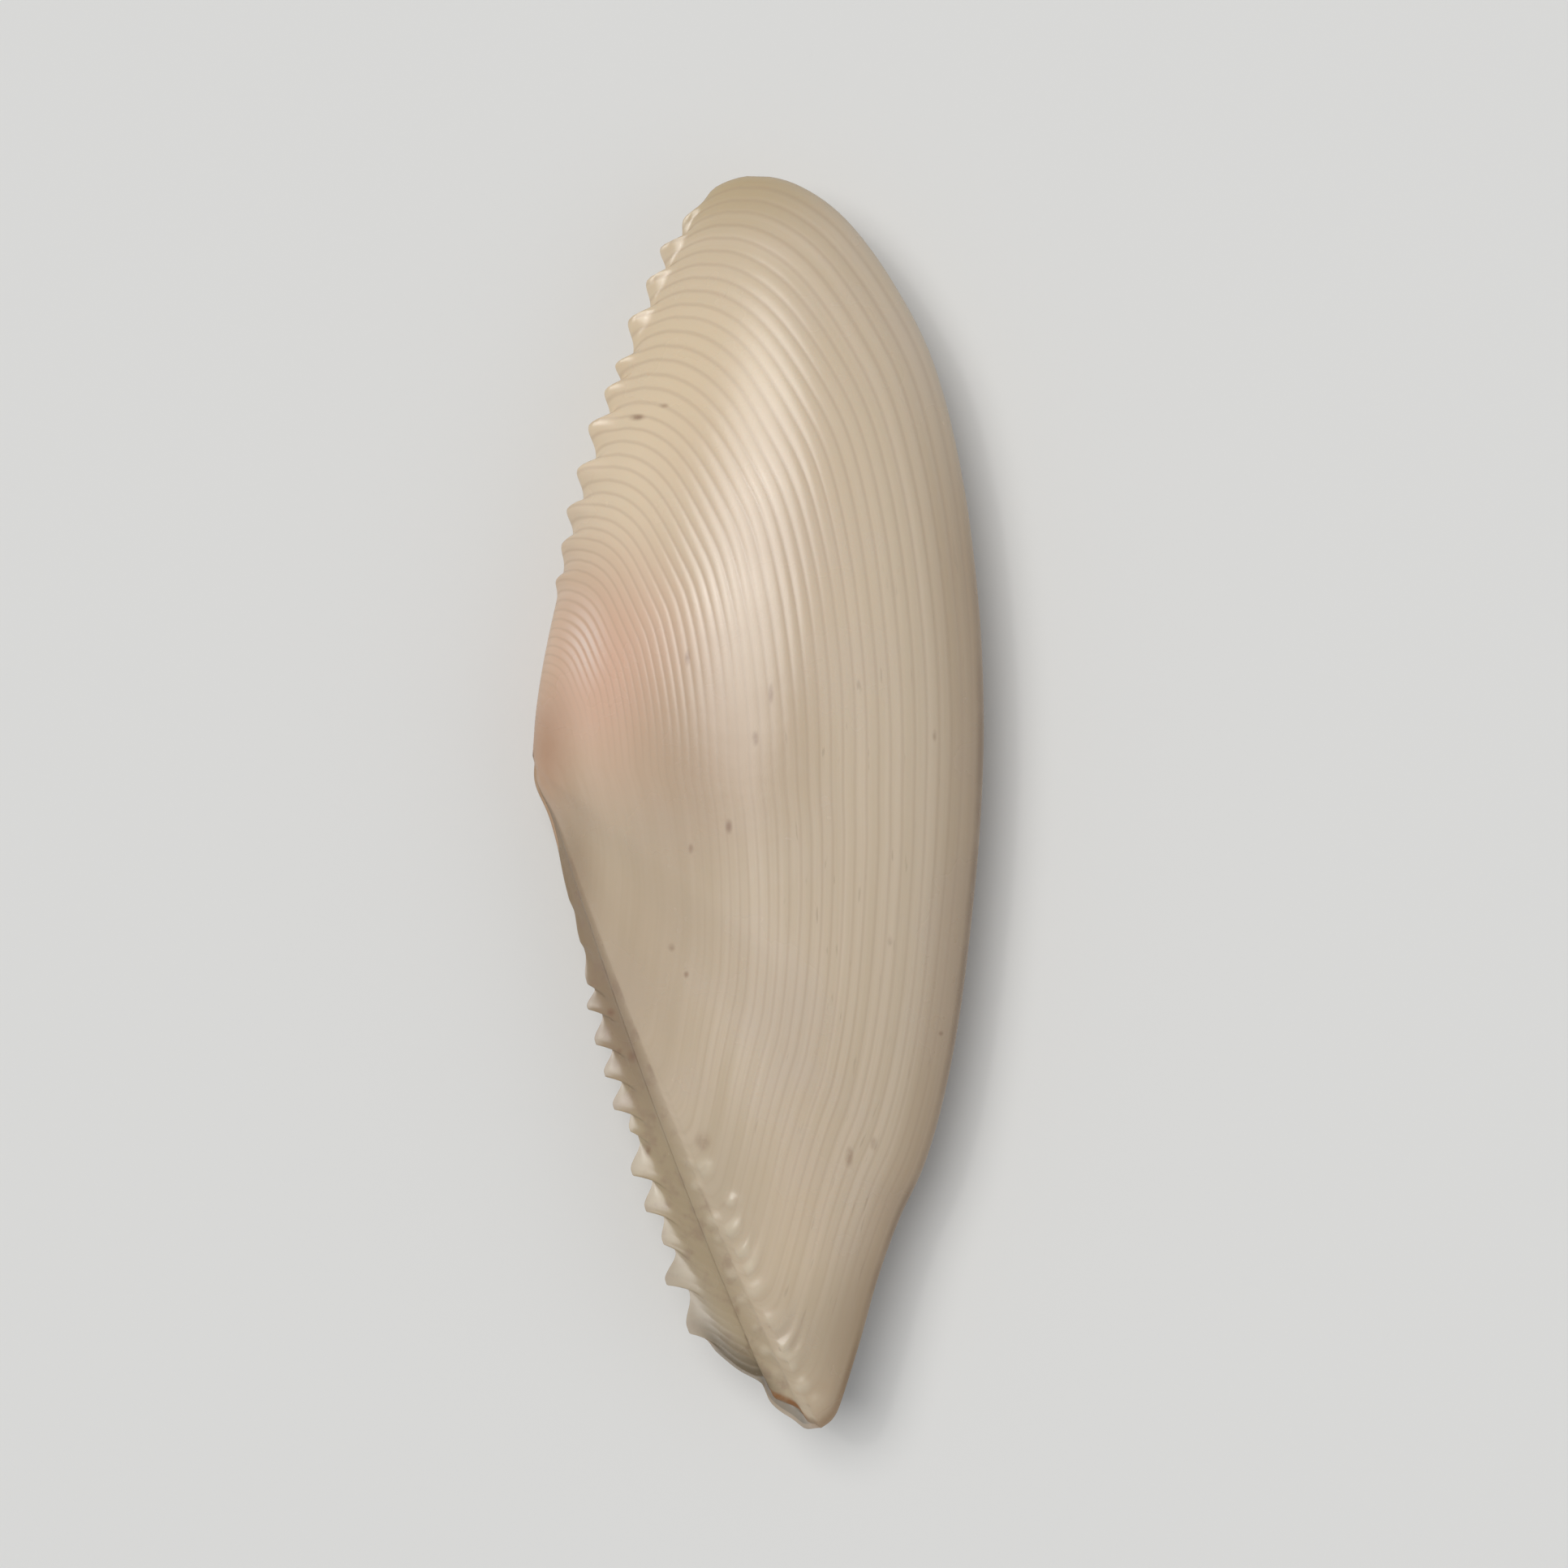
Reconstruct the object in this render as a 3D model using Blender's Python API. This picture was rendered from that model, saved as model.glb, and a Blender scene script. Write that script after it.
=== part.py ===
"""Tellin shell: two closed ridged valves lying on the left one, with the ligament behind the beaks."""

import bmesh
import bpy
import numpy as np
from mathutils import Vector

for old in list(bpy.data.objects):
    bpy.data.objects.remove(old, do_unlink=True)

# Every length is in millimetres until a mesh is made. x runs from the beak to the ventral edge,
# y from the beak to the front end, z away from the plane in which the two valves meet.
MM = 0.001
VALVE_DEPTH = 5.5
WALL = 0.8
GAP = 0.3
RIDGE_HEIGHT = 0.22
KNOB_HEIGHT = 0.22
SPINE_LIFT = 0.45
FLEXURE = 1.5
REAR_OVERHANG = 0.4
WORN_DEPTH = 0.14
LIGAMENT_LENGTH = 4.6
# Where the rounded flank of the keel ends and the hollow rear strip begins, as a share of the blunt end.
KEEL_FOOT = 0.32

# The margin of a valve from the front corner round the ventral edge to the rear tip.
RIM = [
    (9.1, 31.2), (10.0, 32.3), (12.0, 32.9), (14.5, 32.4), (17.2, 30.5), (19.9, 26.9), (22.2, 22.3),
    (23.8, 15.9), (24.7, 8.8), (24.98, 2.5), (24.8, -3.2), (24.3, -8.8), (23.6, -14.3), (22.7, -18.9),
    (21.6, -22.6), (20.2, -25.6), (19.0, -28.9), (18.0, -32.4), (16.9, -35.9), (15.9, -37.1),
]
# The blunt rear end, from the tip to the rear corner of the hinge side.
TRUNCATION = [(15.9, -37.1), (14.8, -36.0), (13.2, -35.4), (12.6, -34.5), (11.2, -33.7), (9.4, -32.2)]

# Growth rate along the margin: a part of the margin at share t of its growth stands at t to this power.
RATE_AT = [0.0, 0.08, 0.22, 0.50, 0.60, 0.70, 0.78, 0.86, 1.0]
RATE = [0.80, 0.85, 1.0, 1.0, 0.94, 0.86, 0.78, 0.69, 0.62]

# Each spine pair: the share of growth at which it was made, and its length at the front and the rear.
SPINES = [
    (0.205, 0.0, 0.4), (0.2445, 0.3, 0.7), (0.305, 0.5, 0.8), (0.366, 0.75, 0.75), (0.439, 0.85, 0.85),
    (0.523, 1.0, 0.9), (0.595, 0.8, 0.45), (0.649, 0.75, 0.85), (0.739, 0.95, 0.55), (0.824, 0.85, 1.05),
    (0.895, 0.9, 0.0), (0.965, 0.45, 0.75),
]
EARLY_RIDGES = [0.012, 0.03, 0.055, 0.085, 0.12, 0.16]


def smooth(value, start, end):
    """Rises gently from 0 at start to 1 at end."""
    part = np.clip((np.asarray(value, float) - start) / (end - start), 0.0, 1.0)
    return part * part * (3.0 - 2.0 * part)


def curve(points, shares):
    """Points at the given shares of the length of a smooth curve through the points."""
    p = np.array(points, float)
    p = np.vstack([2 * p[0] - p[1], p, 2 * p[-1] - p[-2]])
    t = np.linspace(0.0, 1.0, 24, endpoint=False)[:, None]
    out = []
    for i in range(1, len(p) - 2):
        a, b, c, d = p[i - 1:i + 3]
        bend = (2 * a - 5 * b + 4 * c - d) * t ** 2 + (3 * b - a - 3 * c + d) * t ** 3
        out.append(0.5 * (2 * b + (c - a) * t + bend))
    out = np.vstack(out + [p[-2:-1]])
    run = np.concatenate([[0.0], np.cumsum(np.linalg.norm(np.diff(out, axis=0), axis=1))])
    at = np.asarray(shares, float) * run[-1]
    return np.column_stack([np.interp(at, run, out[:, 0]), np.interp(at, run, out[:, 1])])


def ridge_strength(u):
    """How high the growth ridges stand along the margin: full in front and faint behind."""
    return 1.0 - 0.72 * smooth(u, 0.42, 0.74) - 0.1 * smooth(u, 0.8, 1.0) + 0.05 * smooth(u, 1.0, 1.15)


def plan(t, u, overhang):
    """Where a valve's outside lies in the meeting plane.

    t is the share of growth, 0 at the beak and 1 at the margin. u runs along the margin: 0 to 1 from the
    front corner to the rear tip, 1 to 2 across the blunt end to the rear corner. overhang is about how far
    the lip of the blunt end stands out past that of the other valve.
    """
    u = np.atleast_1d(u)
    margin = np.vstack([curve(RIM, u[u <= 1.0]), curve(TRUNCATION, u[u > 1.0] - 1.0)])
    lip = smooth(u, 0.97, 1.1) * (1.0 - smooth(u, 1.88, 2.0))
    lip = lip * (0.75 + 1.3 * np.exp(-((u - 1.18) / 0.13) ** 2))
    margin = margin + np.outer(overhang * lip, (-0.5, -0.85))
    rates = curve(list(zip(RATE_AT, RATE)), np.linspace(0.0, 1.0, 300))
    size = t ** np.interp(u, rates[:, 0], rates[:, 1])
    front, rear = t ** 0.80, t ** 0.62
    x = margin[:, 0] * size
    x = x - (1.0 - smooth(u, 0.0, 0.22)) * 4.6 * front ** 0.62 * (1.0 - front) ** 0.8
    x = x - smooth(u, 0.62, 1.0) * 2.2 * rear * (1.0 - rear)
    return np.column_stack([x, margin[:, 1] * size])


def outline_sides():
    """The hinge side and the ventral side of the outline, each as x for a rising y."""
    stages = np.linspace(0.0, 1.0, 80)
    front = np.vstack([plan(t, 0.0, 0.0) for t in stages])
    rear = np.vstack([plan(t, 2.0, 0.0) for t in stages])
    round_rim = curve(RIM, np.linspace(0.0, 1.0, 400))
    top = int(np.argmax(round_rim[:, 1]))
    blunt = curve(TRUNCATION, np.linspace(0.0, 1.0, 40))
    hinge = np.vstack([blunt, rear[::-1], front[1:], round_rim[1:top + 1]])
    return hinge, round_rim[top:][::-1]


HINGE_SIDE, VENTRAL_SIDE = outline_sides()
# The hinge side with its corner at the beaks rounded off, which the middle of a valve follows.
LEVELS = np.arange(-45.0, 45.0, 0.25)
NEARBY = np.exp(-0.5 * (np.arange(-10.0, 10.01, 0.25) / 3.0) ** 2)
EASED_SIDE = np.interp(LEVELS, HINGE_SIDE[:, 1], HINGE_SIDE[:, 0])
EASED_SIDE = np.convolve(EASED_SIDE, NEARBY / NEARBY.sum(), "same")


def dome(points):
    """Height of the plain rounded valve, 1 at its fullest, over points of the meeting plane."""
    x, y = points[:, 0], points[:, 1]
    left = np.interp(y, HINGE_SIDE[:, 1], HINGE_SIDE[:, 0])
    right = np.interp(y, VENTRAL_SIDE[:, 1], VENTRAL_SIDE[:, 0])
    eased = smooth(x - left, 0.0, 6.0) * smooth(abs(y), 16.0, 9.0)
    left = left + (np.interp(y, LEVELS, EASED_SIDE) - left) * eased
    across = np.clip((x - left) / np.maximum(right - left, 0.01), 0.0, 1.0)
    ahead = np.clip((y - 2.0) / 31.0, 0.0, 1.0)
    behind = np.clip((2.0 - y) / 39.2, 0.0, 1.0)
    along = (1.0 - ahead ** 2.4) ** 0.72 * (1.0 - behind ** 1.8)
    return across ** 0.7 * (1.0 - across ** 2) ** 0.8 / 0.4936 * along


def valve_points(t, u, overhang):
    """Points of the smooth outside of a valve, where the dome gives way at the keel to the hollow strip."""
    points = plan(t, u, overhang)
    height = dome(points)
    strip = u > 1.0
    down = u[strip] - 1.0
    flank = np.where(down < KEEL_FOOT, 1.0 - 0.22 * (down / KEEL_FOOT) ** 1.4,
                     0.78 * ((1.0 - down) / (1.0 - KEEL_FOOT)) ** 1.3)
    height[strip] = dome(plan(t, 1.0, 0.0))[0] * flank
    furrow = 0.05 * smooth(u, 0.74, 0.83) * (1.0 - smooth(u, 0.83, 0.93))
    height = height * (1.0 - furrow) * (u > 0.0) * (t < 1.0)
    seat = smooth(t, 0.002, 0.008) * (1.0 - smooth(t, 0.045, 0.07))
    points[:, 0] += 0.5 * seat * smooth(u, 0.62, 0.98)
    return np.column_stack([points, VALVE_DEPTH * height])


def flexure(points):
    """The rear end of a tellin bends to the right: how far the meeting plane is lifted there."""
    return FLEXURE * np.clip((-points[:, 1] - 8.0) / 29.0, 0.0, 1.0) ** 1.8


def zip_loops(mesh, outer, inner):
    """Triangles between two closed loops of (place, vertex) which run side by side from place 0 to 3."""
    i = j = 0
    while i < len(outer) or j < len(inner):
        a, b = outer[i % len(outer)][1], inner[j % len(inner)][1]
        next_outer = outer[i + 1][0] if i + 1 < len(outer) else 3.0
        next_inner = inner[j + 1][0] if j + 1 < len(inner) else 3.0
        if j >= len(inner) or (i < len(outer) and next_outer <= next_inner):
            i += 1
            mesh.faces.new((a, b, outer[i % len(outer)][1]))
        else:
            j += 1
            mesh.faces.new((a, b, inner[j % len(inner)][1]))


def skin(mesh, grid, beak, stages, columns):
    """Faces of one side of a valve from rows of points, and the loop of vertices round its rim."""
    tip = mesh.verts.new(Vector(beak) * MM)
    rows = [[mesh.verts.new(Vector(p) * MM) for p in row] for row in grid]
    for a, b in zip(rows[0], rows[0][1:]):
        mesh.faces.new((tip, a, b))
    for low, high in zip(rows, rows[1:]):
        for j in range(len(low) - 1):
            mesh.faces.new((low[j], high[j], high[j + 1]))
            mesh.faces.new((low[j], high[j + 1], low[j + 1]))
    loop = [(0.0, tip)] + [(t, row[0]) for t, row in zip(stages, rows)]
    loop += [(1.0 + 0.5 * u, v) for u, v in zip(columns[1:], rows[-1][1:])]
    loop += [(3.0 - t, row[-1]) for t, row in zip(stages[-2::-1], rows[-2::-1])]
    return loop


def finish(name, mesh, colour, roughness):
    """Puts a mesh into the scene as a named object with its own material."""
    bmesh.ops.recalc_face_normals(mesh, faces=mesh.faces[:])
    data = bpy.data.meshes.new(name)
    mesh.to_mesh(data)
    mesh.free()
    material = bpy.data.materials.new(name)
    material.use_nodes = True
    shader = material.node_tree.nodes["Principled BSDF"]
    shader.inputs["Base Color"].default_value = (*colour, 1.0)
    shader.inputs["Roughness"].default_value = roughness
    data.materials.append(material)
    thing = bpy.data.objects.new(name, data)
    bpy.context.scene.collection.objects.link(thing)
    return thing


def make_valve(name, side, overhang, worn):
    """One valve: a ridged outside, a plain inside and a flat rim. side is 1 above the rim and -1 below."""
    crests = EARLY_RIDGES + [s[0] for s in SPINES]
    crests = sorted(crests + [0.5 * (a[0] + b[0]) for a, b in zip(SPINES, SPINES[1:])])
    stages = []
    for before, crest in zip([0.004] + crests, crests):
        stages += [0.5 * (before + crest), crest]
    stages += [0.985, 1.0]
    lengths = {s[0]: s[1:] for s in SPINES}

    columns = np.concatenate([
        [0.0, 0.02, 0.045, 0.08, 0.12, 0.165], np.linspace(0.205, 0.93, 20),
        [0.965, 1.0, 1.18, 1.0 + KEEL_FOOT, 1.66, 2.0]])
    keel = int(np.argmin(abs(columns - 1.0)))
    grid = []
    for t in stages:
        row = valve_points(t, columns, overhang)
        crest = t in crests
        apart = float(np.interp(t, crests, np.gradient(crests)))
        relief = RIDGE_HEIGHT * min(1.0, t / 0.3, apart / 0.034) * ridge_strength(columns)
        taper = np.minimum(1.0, 2.5 * (1.0 - t) / 0.1) * (columns > 0.0) * (columns < 2.0)
        row[:, 2] += relief * taper * (0.5 if crest else -0.5)
        if crest:
            knob = KNOB_HEIGHT * (1.0 if t in lengths else 0.45)
            row[keel, 2] += knob * float(smooth(t, 0.42, 0.6))
            front, rear = lengths.get(t, (0.0, 0.0))
            row[0] += front * np.array([-0.97, 0.24, SPINE_LIFT])
            row[-1] += rear * np.array([-0.95, -0.31, SPINE_LIFT])
        grid.append(row)

    inner_stages = [0.03, 0.12, 0.25, 0.4, 0.55, 0.7, 0.85, 1.0]
    inner_columns = np.array([0.0, 0.05, 0.12, 0.22, 0.36, 0.5, 0.62, 0.74, 0.84, 0.93, 1.0, 1.4, 2.0])
    centre = np.array([11.5, -2.0, 0.0])
    shrink = 1.0 - WALL / np.array([12.5, 35.0, VALVE_DEPTH])
    inside = [centre + (valve_points(t, inner_columns, overhang) - centre) * shrink for t in inner_stages]
    beaks = [np.zeros((1, 3)), centre + (np.zeros((1, 3)) - centre) * shrink]

    for points in grid + inside + beaks:
        points[:, 2] = flexure(points) + side * (points[:, 2] + 0.5 * GAP)
    if worn:
        lowest = min(row[:, 2].min() for row in grid)
        for row in grid:
            row[:, 2] = np.maximum(row[:, 2], lowest + WORN_DEPTH)

    mesh = bmesh.new()
    outer = skin(mesh, grid, beaks[0][0], stages, columns)
    inner = skin(mesh, inside, beaks[1][0], inner_stages, inner_columns)
    zip_loops(mesh, outer, inner)
    return finish(name, mesh, (0.62, 0.50, 0.38), 0.4)


def make_ligament():
    """The brown springy band that holds the valves together, bedded in the hinge just behind the beaks."""
    start = -0.9
    mesh = bmesh.new()
    rings = []
    for k in range(9):
        share = k / 8.0
        y = start - LIGAMENT_LENGTH * share
        reach = -y / 32.5
        margin = 9.4 * reach - 2.2 * reach * (1.0 - reach)
        swell = 0.25 + 0.75 * np.sin(np.pi * (0.08 + 0.84 * share)) ** 0.6
        ring = []
        for c in range(10):
            angle = 2.0 * np.pi * c / 10.0
            x = margin - 0.08 + 0.26 * swell * np.cos(angle)
            ring.append(mesh.verts.new(Vector((x, y, 0.75 * swell * np.sin(angle))) * MM))
        rings.append(ring)
    for low, high in zip(rings, rings[1:]):
        for c in range(10):
            d = (c + 1) % 10
            mesh.faces.new((low[c], low[d], high[d]))
            mesh.faces.new((low[c], high[d], high[c]))
    mesh.faces.new(rings[0][::-1])
    mesh.faces.new(rings[-1])
    bmesh.ops.triangulate(mesh, faces=mesh.faces[:])
    return finish("ligament", mesh, (0.16, 0.09, 0.045), 0.55)


pieces = [
    make_valve("right_valve", 1.0, 0.0, False),
    make_valve("left_valve", -1.0, REAR_OVERHANG, True),
    make_ligament(),
]

# The object stands on the middle of its own footprint.
corners = np.array([v.co for piece in pieces for v in piece.data.vertices])
low, high = corners.min(axis=0), corners.max(axis=0)
shift = Vector((-0.5 * (low[0] + high[0]), -0.5 * (low[1] + high[1]), -low[2]))
for piece in pieces:
    for v in piece.data.vertices:
        v.co += shift
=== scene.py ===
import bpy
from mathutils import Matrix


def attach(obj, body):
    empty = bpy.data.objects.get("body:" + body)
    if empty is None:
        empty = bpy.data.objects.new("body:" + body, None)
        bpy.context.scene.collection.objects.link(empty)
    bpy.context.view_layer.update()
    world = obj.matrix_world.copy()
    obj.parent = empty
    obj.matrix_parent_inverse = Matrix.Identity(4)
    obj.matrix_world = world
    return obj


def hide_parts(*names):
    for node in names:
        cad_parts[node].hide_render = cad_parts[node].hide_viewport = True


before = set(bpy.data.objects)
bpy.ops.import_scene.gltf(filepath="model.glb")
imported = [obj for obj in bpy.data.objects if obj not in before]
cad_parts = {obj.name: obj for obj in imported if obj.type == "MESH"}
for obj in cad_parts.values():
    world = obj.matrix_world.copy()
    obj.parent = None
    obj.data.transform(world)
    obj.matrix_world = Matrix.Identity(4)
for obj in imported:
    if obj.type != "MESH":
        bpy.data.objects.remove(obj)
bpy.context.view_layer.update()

import math

import bpy
import numpy as np
from mathutils import Vector

# The right valve is the side of the shell that lies uppermost, a thin plate of porcelain-like aragonite.
# The animal laid it down line by line along the edge, so every ridge on it is an old edge of the valve,
# and it carries the two rows of short spines and the knobbed keel towards the blunt rear end.
MILLIMETRE = 0.001
BEAK = np.array([-12.365, 2.121, 5.612])
HALF_WIDTH, HALF_LENGTH, VALVE_DEPTH = 12.5, 35.0, 5.6
VALVE_MIDDLE = np.array([11.5, -2.0, 0.0])
REARWARD = np.array([-0.5, -0.85])
RIM_GAP = 0.1
SHELL_WALL = 0.8
LIP_WIDTH = 0.25
FULLEST, FULLEST_ROW, FRONT_LENGTH, REAR_LENGTH = 0.4936, 2.0, 31.0, 39.2
BEAK_BULGE, BULGE_PLACE, BULGE_SPREAD = 0.42, -1.1, 1.4
KEEL_FOOT, KEEL_DROP = 0.32, 0.22
REAR_BEND, BEND_START, BEND_LENGTH = 1.5, 8.0, 29.0
GROOVE_DEPTH = 0.02
FIRST_RIDGE, RIDGE_PACE, PACE_ADDED_LATER = 0.004, 0.0125, 0.014
RIDGE_RELIEF, RIDGE_LEVEL, ROWS_PER_RIDGE = 0.032, 0.6, 8

# The finished edge, in millimetres from the beak: from the front corner of the hinge side round to the
# rear tip, and then over the blunt rear end.
edge_round_the_front = [
    (9.1, 31.2), (10.0, 32.3), (12.0, 32.9), (14.5, 32.4), (17.2, 30.5), (19.9, 26.9), (22.2, 22.3),
    (23.8, 15.9), (24.7, 8.8), (24.98, 2.5), (24.8, -3.2), (24.3, -8.8), (23.6, -14.3), (22.7, -18.9),
    (21.6, -22.6), (20.2, -25.6), (19.0, -28.9), (18.0, -32.4), (17.0, -35.5), (16.5, -36.55),
    (15.85, -37.08),
]
blunt_rear_edge = [
    (15.85, -37.08), (15.2, -36.85), (14.5, -36.0), (13.2, -35.4), (12.6, -34.5), (11.2, -33.7), (9.4, -32.2),
]
# How each place on the edge grew: the place, and the power of age that its distance from the beak follows.
growth_pace = [
    (0.0, 0.80), (0.08, 0.85), (0.22, 1.0), (0.50, 1.0), (0.60, 0.94), (0.70, 0.86), (0.78, 0.78),
    (0.86, 0.69), (1.0, 0.62),
]
# Spines at the two ends of the growth lines: when in the growth each was made, and its length.
front_spines = [
    (0.205, 0.0), (0.2445, 0.3), (0.305, 0.5), (0.366, 0.75), (0.439, 0.85), (0.523, 1.0), (0.595, 0.8),
    (0.649, 0.75), (0.739, 0.95), (0.824, 0.85), (0.895, 0.9), (0.965, 0.45),
]
rear_spines = [
    (0.095, 0.12), (0.150, 0.12), (0.210, 0.35), (0.248, 0.7), (0.3075, 0.8), (0.367, 0.8), (0.431, 0.85),
    (0.483, 0.35), (0.571, 0.95), (0.656, 0.85), (0.741, 0.5), (0.835, 1.05), (0.968, 0.75),
]
# Knobs on the keel and on its flank: place from the beak, height and width.
knobs = [
    (9.4, -22.5, 0.11, 0.5), (10.8, -24.3, 0.13, 0.36), (10.9, -25.9, 0.11, 0.56), (11.6, -27.2, 0.11, 0.56),
    (12.2, -29.2, 0.12, 0.56), (13.75, -32.8, 0.14, 0.5), (14.8, -34.6, 0.13, 0.48), (15.6, -35.5, 0.1, 0.44),
    (8.5, -22.2, 0.08, 0.36), (8.9, -23.5, 0.09, 0.4), (9.8, -25.4, 0.1, 0.44), (10.1, -26.4, 0.07, 0.34),
    (10.9, -28.4, 0.1, 0.44), (11.4, -29.8, 0.08, 0.38), (12.2, -31.4, 0.07, 0.34), (12.7, -32.7, 0.09, 0.38),
    (12.9, -30.9, 0.07, 0.4), (14.3, -33.7, 0.08, 0.34), (11.9, -28.1, 0.06, 0.34), (13.3, -34.0, 0.06, 0.3),
]
# Nicks in the blunt edge of the upper valve: place along the edge, width and depth.
nicks = [(1.51, 0.04, 0.34), (1.43, 0.025, 0.14), (1.05, 0.03, 0.14)]
# Places along the edge that carry points of the outside, and the ages and places of the plain lining.
skin_places = np.concatenate([
    [0.0], 0.003 * np.arange(1, 9) ** 1.25, np.linspace(0.05, 0.93, 144)[1:], np.linspace(0.933, 1.0, 23),
    [1.012, 1.03, 1.05], np.linspace(1.075, 1.9, 34), [1.93, 1.96, 1.98, 2.0]])
lining_ages = np.linspace(0.03, 1.0, 24)
lining_places = np.concatenate([np.linspace(0.0, 1.0, 60), np.linspace(1.08, 2.0, 10)])


def gently(value, start, end):
    """A soft step: 0 as far as start, 1 from end on."""
    part = np.clip((np.asarray(value, float) - start) / (end - start), 0.0, 1.0)
    return part * part * (3.0 - 2.0 * part)


def oval(x, y, middle_x, middle_y, wide, long):
    """0 in the middle of an oval, 1 on it and more outside it."""
    return np.sqrt(((x - middle_x) / wide) ** 2 + ((y - middle_y) / long) ** 2)


def smooth_edge(points, shares):
    """Points on a smooth curve through the given ones, at the given shares of its length."""
    posts = np.array(points, float)
    posts = np.vstack([2 * posts[0] - posts[1], posts, 2 * posts[-1] - posts[-2]])
    step = np.linspace(0.0, 1.0, 24, endpoint=False)[:, None]
    curve = []
    for i in range(1, len(posts) - 2):
        a, b, c, d = posts[i - 1:i + 3]
        bend = (2 * a - 5 * b + 4 * c - d) * step ** 2 + (3 * b - a - 3 * c + d) * step ** 3
        curve.append(0.5 * (2 * b + (c - a) * step + bend))
    curve = np.vstack(curve + [posts[-2:-1]])
    run = np.concatenate([[0.0], np.cumsum(np.linalg.norm(np.diff(curve, axis=0), axis=1))])
    at = np.asarray(shares, float) * run[-1]
    return np.column_stack([np.interp(at, run, curve[:, 0]), np.interp(at, run, curve[:, 1])])


def growth_lines(ages, places, overhang):
    """Old edges of the valve, one row for each age from 0 at the beak to 1 at the finished edge.

    A place runs along the edge: 0 to 1 from the front corner to the rear tip, 1 to 2 over the blunt end.
    """
    ages, places = np.atleast_1d(ages)[:, None], np.atleast_1d(places)
    edge = np.vstack([smooth_edge(edge_round_the_front, places[places <= 1.0]),
                      smooth_edge(blunt_rear_edge, places[places > 1.0] - 1.0)])
    lip = gently(places, 0.97, 1.1) * (1.0 - gently(places, 1.88, 2.0))
    lip = lip * (0.4 + 1.2 * np.exp(-((places - 1.23) / 0.16) ** 2))
    edge = edge + np.outer(overhang * lip, REARWARD)
    pace = smooth_edge(growth_pace, np.linspace(0.0, 1.0, 300))
    size = ages ** np.interp(places, pace[:, 0], pace[:, 1])[None, :]
    front, rear = ages ** growth_pace[0][1], ages ** growth_pace[-1][1]
    x = edge[:, 0] * size
    x = x - (1.0 - gently(places, 0.0, 0.22)) * 4.6 * front ** 0.62 * (1.0 - front) ** 0.8
    x = x - gently(places, 0.62, 1.0) * 2.2 * rear * (1.0 - rear)
    return x, edge[:, 1] * size


hinge_ages = np.linspace(0.0, 1.0, 120) ** 2
hinge_front = np.column_stack([line[:, 0] for line in growth_lines(hinge_ages, 0.0, 0.0)])
hinge_rear = np.column_stack([line[:, 0] for line in growth_lines(hinge_ages, 2.0, 0.0)])
round_edge = smooth_edge(edge_round_the_front, np.linspace(0.0, 1.0, 400))
foremost = int(np.argmax(round_edge[:, 1]))
hinge_side = np.vstack([smooth_edge(blunt_rear_edge, np.linspace(0.0, 1.0, 40)), hinge_rear[::-1],
                        hinge_front[1:], round_edge[1:foremost + 1]])
ventral_side = round_edge[foremost:][::-1]
hinge_rows = np.arange(-45.0, 45.0, 0.1)


def hinge_line(y):
    """How far to the right the edge of the hinge side lies."""
    return np.interp(y, hinge_side[:, 1], hinge_side[:, 0])


def eased_hinge(spread):
    """The line of the hinge side, smoothed over about the given number of millimetres."""
    weights = np.exp(-0.5 * (np.arange(-10.0, 10.01, 0.1) / spread) ** 2)
    return np.convolve(hinge_line(hinge_rows), weights / weights.sum(), "same")


broad_hinge, close_hinge = eased_hinge(3.0), eased_hinge(0.6)


def fullness(x, y):
    """Height of the plain rounded valve over its rim, 1 where it is fullest."""
    left = hinge_line(y)
    right = np.interp(y, ventral_side[:, 1], ventral_side[:, 0])
    left = left + (np.interp(y, hinge_rows, close_hinge) - left) * gently(abs(y), 5.0, 2.5)
    eased = gently(x - left, 0.0, 6.0) * gently(abs(y), 16.0, 9.0)
    left = left + (np.interp(y, hinge_rows, broad_hinge) - left) * eased
    across = np.clip((x - left) / np.maximum(right - left, 0.01), 0.0, 1.0)
    ahead = np.clip((y - FULLEST_ROW) / FRONT_LENGTH, 0.0, 1.0)
    behind = np.clip((FULLEST_ROW - y) / REAR_LENGTH, 0.0, 1.0)
    along = (1.0 - ahead ** 2.4) ** 0.72 * (1.0 - behind ** 1.8)
    return across ** 0.7 * (1.0 - across ** 2) ** 0.8 / FULLEST * along


def flank_below_keel(down):
    """Height of the strip, 1 at the keel, falling slowly as far as the keel's foot and faster to the edge."""
    upper = 1.0 - KEEL_DROP * (down / KEEL_FOOT) ** 1.4
    lower = (1.0 - KEEL_DROP) * ((1.0 - down) / (1.0 - KEEL_FOOT)) ** 1.3
    return np.where(down < KEEL_FOOT, upper, lower)


def plain_valve(ages, places, overhang):
    """Points of the valve without ridges or spines, in millimetres from the beak, one row for each age."""
    x, y = growth_lines(ages, places, overhang)
    height = fullness(x, y)
    keel_x, keel_y = growth_lines(ages, 1.0, 0.0)
    strip = places > 1.0
    down = places[strip] - 1.0
    ease = 0.09 * gently(down, 0.0, 0.12) * gently(1.0 - down, 0.0, 0.12)
    flank = sum(flank_below_keel(at) for at in (down - ease, down, down + ease)) / 3.0
    to_flank = fullness(keel_x, keel_y) * flank[None, :] - height[:, strip]
    height[:, strip] += gently(down, 0.0, 0.4) * to_flank
    furrow = 0.05 * gently(places, 0.74, 0.83) * (1.0 - gently(places, 0.83, 0.93))
    height = height * (1.0 - furrow) * (places > 0.0) * (ages < 1.0)[:, None]
    return np.stack([x, y, VALVE_DEPTH * height], axis=-1)


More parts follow.
